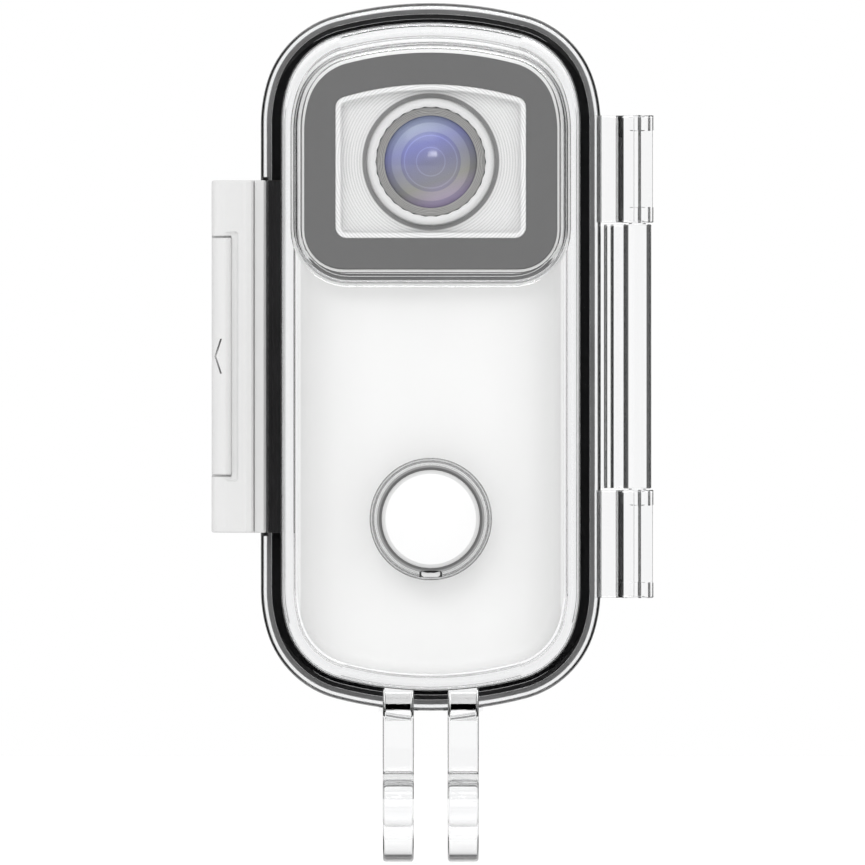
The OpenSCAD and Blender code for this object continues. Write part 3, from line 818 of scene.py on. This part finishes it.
def button_collar():
    """The clear collar round the button, with a fine groove and a key slot at its foot, and painted shade in
    the groove and along its outer edge.
    """
    r_out, r_in = COLLAR_HIGH[0], 4.97
    y0, y1 = COLLAR_LOW[1], COLLAR_HIGH[1] - CLEAR_GAP
    profile = [(r_out, y1), (r_out, y0 + 0.2), (r_out - 0.03, y0 + 0.08), (r_out - 0.12, y0),
               (5.34, y0), (5.3, y0 + 0.16), (5.22, y0 + 0.18), (5.17, y0),
               (r_in + 0.06, y0), (r_in, y0 + 0.06), (r_in, y1)]
    ring = lathe("button_collar_ring", profile, 0, BUTTON_Z)
    cut(ring, block("slot", (-KEY_W, KEY_W), (y0 - 1, y1 - 0.2), (BUTTON_Z - 5.32, BUTTON_Z - 4.5)))
    piece(ring, COLLAR_CLEAR_GROOVE_SHADE, "case", "clear_plastic", "button_collar")


def button_key():
    """The pale key in the collar's slot, which keeps the button from turning."""
    z0, z1 = BUTTON_Z - 5.3, BUTTON_Z - 4.78
    half = [(0.0, z1 - 0.12), (0.3, z1 - 0.14), (0.55, z1 - 0.08), (0.72, z1 - 0.02), (0.86, z1),
            (0.86, z0 + 0.2), (0.78, z0 + 0.06), (0.6, z0), (0.0, z0)]
    y0, y1 = COLLAR_LOW[1] + 0.02, COLLAR_HIGH[1] - 0.2
    key = prism("button_key_block", both_sides(half), y0, y1, "Y", 0.06, 3, 40)
    piece(key, KEY_GREY, "case", "clear_plastic")


def button_slot():
    """The dark back of the slot behind the key."""
    y0, y1 = COLLAR_HIGH[1] - 0.19, COLLAR_HIGH[1] - 0.06
    back = block("button_slot_back", (-KEY_W + 0.01, KEY_W - 0.01), (y0, y1),
                 (BUTTON_Z - 5.31, BUTTON_Z - 4.55), 0.02)
    piece(back, SLEEVE_DARK, "case", "black_rubber")


def push_button():
    """The white cap: a flat disc with a soft edge, painted darker there as shade, hollow behind, on a stem.
    """
    front, back = CAP_FRONT, CASE_FRONT - 0.7
    disc = 4.17
    profile = [(0.05, front), (disc - 0.12, front), (disc, front + 0.04), (disc + 0.04, front + 0.12),
               (4.4, front + 0.2), (4.46, front + 0.28), (4.47, back), (3.6, back), (3.6, front + 0.32),
               (STEM_R, front + 0.32), (STEM_R, STEM_BACK), (0.05, STEM_BACK)]
    cap = lathe("push_button_cap", profile, 0, BUTTON_Z, closed=False)
    piece(cap, CAP_WHITE_EDGE_SHADE, "plunger", "white_plastic", "push_button")


def button_sleeve():
    """The grey rubber sleeve round the cap, which slopes down to it, painted darker as shade on that slope,
    and has a keyway at its foot.
    """
    front = CAP_FRONT
    profile = [(4.49, SLEEVE_BACK), (4.49, front + 0.42), (4.7, front + 0.36), (4.74, front + 0.26),
               (4.9, front + 0.22), (4.93, front + 0.26), (4.93, SLEEVE_BACK)]
    sleeve = lathe("button_sleeve_ring", profile, 0, BUTTON_Z)
    cut(sleeve, block("keyway", (-KEYWAY_W, KEYWAY_W), (front - 1, SLEEVE_BACK + 0.42),
                      (BUTTON_Z - 5.5, BUTTON_Z - 4.73)))
    piece(sleeve, SLEEVE, "plunger", "black_rubber")


# ------------------------ springs and pads
def coil(name, r, wire, y0, y1, turns, x, z):
    """A coil spring along Y, round (x, z)."""
    steps, sides = 24 * turns, 10
    rings = []
    for i in range(steps + 1):
        a = 2 * math.pi * turns * i / steps
        y = y0 + wire + (y1 - y0 - 2 * wire) * i / steps
        rings.append([(x + far * math.cos(a), back, z + far * math.sin(a))
                      for far, back in circle(wire, r, y, sides)])
    return from_rings(name, rings)


def button_spring():
    """The button's return spring: a coil round the button's axis."""
    low, high = box_mm("button_spring")
    spring = coil("button_return_spring", 2.6, 0.13, low[1], high[1], 2, 0, BUTTON_Z)
    piece(spring, STEEL, "case", "steel", "button_spring")
    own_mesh(spring)


def lock_spring():
    """The two springs behind the sliding lock."""
    low, high = box_mm("lock_spring")
    x = (low[0] + high[0]) / 2
    ends = (low[2] + 0.65, high[2] - 0.65)
    springs = join("lock_return_springs", [coil("coil", 0.55, 0.1, low[1], high[1], 4, x, z) for z in ends])
    piece(springs, STEEL, "latch", "steel", "lock_spring")
    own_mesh(springs)


def seat_pads():
    """Two soft pads on the door, with round corners and ribs towards the camera."""
    low, high = box_mm("seat_pads")
    r, tall = 1.8, 9
    pads = []
    for z0, z1 in ((low[2], low[2] + tall), (high[2] - tall, high[2])):
        corner = [(high[0] - r, z1 - r, 0), (high[0] - r, z0 + r, 90), (low[0] + r, z0 + r, 180),
                  (low[0] + r, z1 - r, 270)]
        outline = [point for x, z, turn in corner for point in arc(x, z, r, turn, turn + 90, 8)]
        pad = prism("pad", outline, low[1], high[1], "Y", 0.1, 3, 40)
        for k in range(5):
            z = z0 + 1.5 + k * 1.5
            groove = [(low[1] - 0.1, z - 0.22), (low[1] + 0.14, z), (low[1] - 0.1, z + 0.22)]
            cut(pad, prism("groove", groove, low[0] + 1.2, high[0] - 1.2, "X"))
        pads.append(pad)
    piece(join("seat_pads_ribbed", pads), PAD_RUBBER, "door", "black_rubber", "seat_pads")


# ------------------------ the camera
(_, PANEL_FRONT, PANEL_LOW), (PANEL_W, _, PANEL_HIGH) = box_mm("face_panel")
RECESS_LOW, RECESS_HIGH = box_mm("lens_recess")
COVER_T = 1.2
PLATE_T = 0.5
DEEP = CAM_FRONT + COVER_T
RING_R = 6.26
THREAD_R = 4.97
GLASS_R = 4.23


def panel_edge(d):
    return panel_outline(PANEL_W, PANEL_LOW, PANEL_HIGH, 3.6, d)


def camera_cover(name, y_seam, y_face, r, wall_in, crown, reach):
    """One of the camera's two covers: a cup whose face is crowned over a reach in from its rounded edge."""
    way = 1 if y_face > y_seam else -1

    def face_y(d):
        return y_face - way * crown * (1 - d / reach) ** 2

    edge_y = face_y(r) - way * r
    outer = [(CAM_INSET, y_seam)]
    outer += [(CAM_INSET + r - cos, edge_y + way * sin) for cos, sin in fillet(0, 0, r, 0, 90, 10)[:-1]]
    outer += [(CAM_INSET + d, face_y(d)) for d in (r + (reach - r) * i / 10 for i in range(11))]
    inner_y, inner_d = y_face - way * COVER_T, CAM_INSET + COVER_T
    inner = [(inner_d, y_seam), (inner_d, inner_y - way * wall_in), (inner_d + wall_in, inner_y)]
    return sweep(name, case_outline, outer[::-1] + inner)


def camera_front():
    cover = camera_cover("camera_front_cover", COVER_Y - 0.06, CAM_FRONT, 1.2, 1.4, 1.0, 4.8)
    opening = panel_outline(PANEL_W + 0.02, PANEL_LOW - 0.02, PANEL_HIGH + 0.02, 3.6)
    cut(cover, prism("opening", opening, CAM_FRONT - 2, CAM_FRONT + 2.2, "Y"),
        cylinder("hole", 3.1, CAM_FRONT - 1, CAM_FRONT + 3, 0, BUTTON_Z))
    # The cover's greyer sides are painted shade.
    piece(cover, COVER_WHITE_SIDE_SHADE, "case", "white_plastic", "camera_front")


def camera_back():
    cover = camera_cover("camera_back_cover", COVER_Y + 0.06, CAM_BACK, 2.0, 1.6, 0.4, 4.8)
    piece(cover, WHITE, "case", "white_plastic", "camera_back")


def face_panel():
    """The grey face plate, with the lens opening."""
    front = PANEL_FRONT
    profile = [(0.06, front), (0.0, front + 0.06), (0.0, front + PLATE_T)]
    plate = sweep("face_panel_block", panel_edge, profile)
    cut(plate, prism("hole", recess_outline(0.0), front - 1, CAM_FRONT + 3, "Y"))
    piece(plate, GREY, "case", "grey_plastic", "face_panel")


def panel_plinth():
    """The camera's white raised block under the grey face plate."""
    front = PANEL_FRONT + PLATE_T + 0.02
    plinth = sweep("panel_plinth", panel_edge, [(0.06, front), (0.02, front + 0.04), (0.02, DEEP)])
    cut(plinth, prism("hole", recess_outline(-0.02), front - 1, CAM_FRONT + 3, "Y"))
    piece(plinth, WHITE, "case", "white_plastic")


def recess_outline(d):
    """The opening round the lens: an arched top that meets straight sides in small round corners."""
    arch_r = 28.0
    corner = max(1.05 - d, 0.05)
    w, z0, z1 = RECESS_HIGH[0] - d, RECESS_LOW[2] + d, RECESS_HIGH[2] - d
    radius = arch_r - d
    arch_z = z1 - radius
    side = math.degrees(math.asin((w - corner) / (radius - corner)))
    corner_z = arch_z + (radius - corner) * math.cos(math.radians(side))
    half = arc(0, arch_z, radius, 0, side, 44)
    half += arc(w - corner, corner_z, corner, side, 90, 6, 1)
    half += line(half[-1], (w, z0 + corner), 60)
    half += arc(w - corner, z0 + corner, corner, 90, 180, 6, 1)
    half += line(half[-1], (0.0, z0), 44)
    return both_sides(half)


def line(start, end, steps):
    """Points after start, in equal steps to end."""
    return [(start[0] + (end[0] - start[0]) * i / steps, start[1] + (end[1] - start[1]) * i / steps)
            for i in range(1, steps + 1)]


def lens_recess():
    """A white rim round a floor of fine round grooves, all on the lens axis."""
    rim, floor_y = 0.53, PANEL_FRONT + 1.05
    front = PANEL_FRONT - 0.03
    profile = [(0.02, DEEP), (0.02, front + 0.08), (0.1, front), (rim - 0.08, front),
               (rim, front + 0.08), (rim + 0.12, floor_y - 0.1), (rim + 0.2, floor_y)]
    rings = [[(x, y, z) for x, z in recess_outline(d)] for d, y in profile]
    rings += grooves(rings[-1], floor_y)
    rings.append([(x, DEEP, z) for x, y, z in rings[-1]])
    recess = from_rings("lens_recess_grooved", rings, closed=True)
    piece(recess, RECESS_WHITE, "case", "white_gloss", "lens_recess")


def grooves(border, floor_y):
    """Rings from the border in to the lens ring, with a shallow wave about the lens axis."""
    pitch, depth, per_groove = 0.25, 0.035, 4
    rings = []
    reach = max(math.hypot(x, z - LENS_Z) for x, y, z in border)
    count = int((reach - RING_R) / pitch * per_groove)
    for i in range(1, count + 1):
        r = reach - (reach - RING_R) * i / count
        ring = []
        for x, y, z in border:
            far = math.hypot(x, z - LENS_Z)
            here = min(r, far - 0.0005 * i)
            wave = depth * (0.5 - 0.5 * math.cos(2 * math.pi * here / pitch))
            ring.append((x * here / far, floor_y + wave, LENS_Z + (z - LENS_Z) * here / far))
        rings.append(ring)
    return rings


def lens_ring():
    """The white ring round the lens, with painted shade on its outer slope and in the gap: a deep gap
    outside, and fine teeth round the ribbed ring.
    """
    front, back = PANEL_FRONT - 0.05, DEEP
    ledge_y, ledge_r = PANEL_FRONT + 0.95, RING_R - 0.4
    profile = [(RING_R, back), (RING_R, ledge_y), (ledge_r + 0.06, ledge_y + 0.12), (ledge_r, ledge_y),
               (ledge_r - 0.04, front + 0.5), (ledge_r - 0.12, front + 0.22), (ledge_r - 0.32, front + 0.04),
               (ledge_r - 0.5, front), (THREAD_R + 0.2, front + 0.03), (THREAD_R + 0.06, front + 0.08),
               (THREAD_R - 0.1, front + 0.14), (THREAD_R - 0.1, back)]
    ring = lathe("lens_ring_white", profile, 0, LENS_Z, 160)
    turn = [(math.pi * i / 30, THREAD_R + (0.09 if i % 2 else 0.01)) for i in range(60)]
    star = [(r * math.sin(a), LENS_Z + r * math.cos(a)) for a, r in turn]
    cut(ring, prism("teeth", star, front - 1, back + 1, "Y"))
    piece(ring, LENS_RING_WHITE_GAP_SHADE, "case", "white_gloss", "lens_ring")


def thread_ring():
    """The grey ring that steps down to the glass in fine round ribs, with a painted highlight along its inner
    edge.
    """
    front, back = PANEL_FRONT + 0.35, DEEP
    ribs, drop = 6, 0.75
    pitch = (THREAD_R - GLASS_R) / ribs
    profile = [(THREAD_R, back)]
    for i in range(ribs):
        r, y = THREAD_R - i * pitch, front + drop * i / ribs
        profile += [(r, y + 0.05), (r - 0.25 * pitch, y), (r - 0.75 * pitch, y), (r - 0.9 * pitch, y + 0.09)]
    profile += [(GLASS_R + CLEAR_GAP, front + drop), (GLASS_R + CLEAR_GAP, back)]
    ring = lathe("thread_ring_ribbed", profile, 0, LENS_Z, 160)
    piece(ring, GREY_METAL_LIT_EDGE, "case", "grey_metal", "thread_ring")


def lens_material():
    """The coated lens: blue-violet above, grey below, as a painted reflection of the light above, with the
    rims of the inner lenses as rings.
    """
    mat, tree = new_material("coated lens")
    unit = GLASS_R * MM
    slope = add_node(tree, "VectorMath", {0: add_node(tree, "TexCoord").outputs["Object"],
                                          1: [part / unit for part in LENS_SLOPE]}, operation="DOT_PRODUCT")
    place = add_node(tree, "Math", {0: slope.outputs["Value"], 1: 0.5 - LENS_SLOPE[2] * LENS_Z * MM / unit},
                     operation="ADD")
    coat = ramp(tree, place.outputs[0], LENS_COAT_AND_REFLECTION)
    rings = ramp(tree, distance(tree, GLASS_R, LENS_Z), LENS_RINGS)
    return finish(mat, Base_Color=multiply(tree, coat, rings), Roughness=0.25, Specular_IOR_Level=0.1,
                  Coat_Weight=0.4, Coat_Roughness=0.02)


# Brightness of the lens by distance from its axis, as a tone or with less blue, and its coating's colour
# along a slope from the lower right to the upper left, lighter and bluer upwards: a painted reflection of the
# light above.
LENS_RINGS = [(0.0, 0.8), (0.29, 0.84), (0.31, 1.1), (0.33, 0.84), (0.55, 0.86), (0.57, 1.12), (0.59, 0.86),
              (0.64, 0.8), (0.66, (1.12, 1.12, 0.92)), (0.84, (1.16, 1.16, 0.94)), (0.86, (0.84, 0.84, 0.74)),
              (0.97, (0.9, 0.9, 0.8)), (1.0, (0.6, 0.6, 0.56))]
LENS_SLOPE = (-0.16, 0.0, 0.42)
LENS_COAT_AND_REFLECTION = [(0.1, (0.34, 0.29, 0.48)), (0.3, (0.26, 0.26, 0.29)), (0.5, (0.23, 0.235, 0.36)),
             (0.68, (0.24, 0.255, 0.54)), (0.9, (0.31, 0.355, 0.58))]


def front_glass():
    """The domed front lens."""
    low, high = box_mm("front_glass")
    r_dome, r_min, steps = 9.8, 0.03, 20
    radii = [r_min + (GLASS_R - r_min) * i / steps for i in range(steps + 1)]
    profile = [(r, low[1] + r_dome - math.sqrt(r_dome * r_dome - r * r)) for r in radii]
    profile += [(GLASS_R, high[1] - 0.2), (r_min, high[1] - 0.2)]
    glass = lathe("front_glass_dome", profile, 0, LENS_Z, 128, closed=False)
    piece(glass, lens_material(), "case", "lens_glass", "front_glass")


# ------------------------ floor, light and camera
def stage():
    """A plain pale floor, just under the fork."""
    floor_z = box_mm("mount_fork")[0][2] - 0.3
    bm = bmesh.new()
    bmesh.ops.create_circle(bm, cap_ends=True, segments=96, radius=1.2)
    floor = to_object("floor", bm)
    floor.location = (0, 0, floor_z * MM)
    pale = solid("pale floor", 0.95, 0.7, 40.0, 0.02, 0.1, 0.01, specular=0.1)
    floor.data.materials.append(pale)
    floor.visible_glossy = False


def area_light(name, place, aim, size, power):
    data = bpy.data.lights.new(name, "AREA")
    data.shape = "RECTANGLE"
    data.size, data.size_y = size
    data.energy = power
    lamp = link(name, data)
    lamp.location = Vector(place)
    lamp.rotation_euler = (Vector(aim) - Vector(place)).to_track_quat("-Z", "Y").to_euler()
    return lamp


def lights():
    """A white surround with narrow dark flags, a soft lamp, and a small one for the lens's highlight."""
    world = bpy.data.worlds.new("surround")
    bpy.context.scene.world = world
    world.use_nodes = True
    tree = world.node_tree
    axes = add_node(tree, "SeparateXYZ", {"Vector": add_node(tree, "TexCoord").outputs["Generated"]})
    tone = None
    for axis, kind, stops in (("X", "ABSOLUTE", SIDE_FLAGS), ("Z", "ABSOLUTE", HIGH_FLAGS),
                              ("Y", "ADD", FRONT_FLAG)):
        size = add_node(tree, "Math", {0: axes.outputs[axis], 1: 1.0}, operation=kind)
        flag = ramp(tree, size.outputs[0], stops)
        tone = multiply(tree, tone, flag) if tone else flag
    path = add_node(tree, "LightPath")
    for kind, level in (("Is Diffuse Ray", 1.2), ("Is Camera Ray", 1.0)):
        tone = add_node(tree, "Mix", {"Factor": path.outputs[kind], 6: tone, 7: (level, level, level, 1)},
                        data_type="RGBA").outputs[2]
    feed(tree, tree.nodes["Background"], {"Color": tone, "Strength": 1.0})
    area_light("key", (-0.13, -0.66, 0.48), (0, 0, 0.04), (0.46, 0.26), 0.8)
    glint = area_light("glint", (0.02, -0.59, 0.15), (0, 0, 0.0584), (0.1, 0.06), 0.4)
    glint.visible_diffuse = False


# Brightness of the surround by the sideways and the upward part of the direction.
SIDE_FLAGS = [(0.0, 1.0), (0.42, 1.0), (0.5, 0.05), (0.9, 0.05), (0.96, 1.0), (1.0, 1.0)]
HIGH_FLAGS = [(0.0, 1.0), (0.72, 1.0), (0.78, 0.1), (0.92, 0.1), (0.97, 1.0), (1.0, 1.0)]
FRONT_FLAG = [(0.0, 0.0), (0.08, 0.0), (0.16, 1.0), (1.0, 1.0)]


def camera():
    """A long lens, straight on to the front."""
    away, sensor, view_w = 3.6, 36.0, 0.07936
    data = bpy.data.cameras.new("camera")
    data.sensor_width = sensor
    data.lens = sensor * (away - 0.003) / view_w
    data.clip_start, data.clip_end = 0.01, 20
    cam = link("camera", data)
    cam.location = (0.00016, -away, 0.03362)
    cam.rotation_euler = (math.pi / 2, 0, 0)
    bpy.context.scene.camera = cam
    bpy.context.scene.view_settings.view_transform = "Standard"


PIECES = (
    front_shell, hinge_roots, window_frame, window_foot_shade, lens_window, mount_fork, hinge_pin,
    back_door, door_gasket, gasket_lip, gasket_rim, catch_strip, latch_frame, latch_lock,
    button_collar, button_key, button_slot, push_button, button_sleeve, button_spring, lock_spring, seat_pads,
    camera_front, camera_back, face_panel, panel_plinth, lens_recess, lens_ring, thread_ring, front_glass,
)

camera()
lights()
stage()
dress_cad_nodes()
for make in PIECES:
    make()
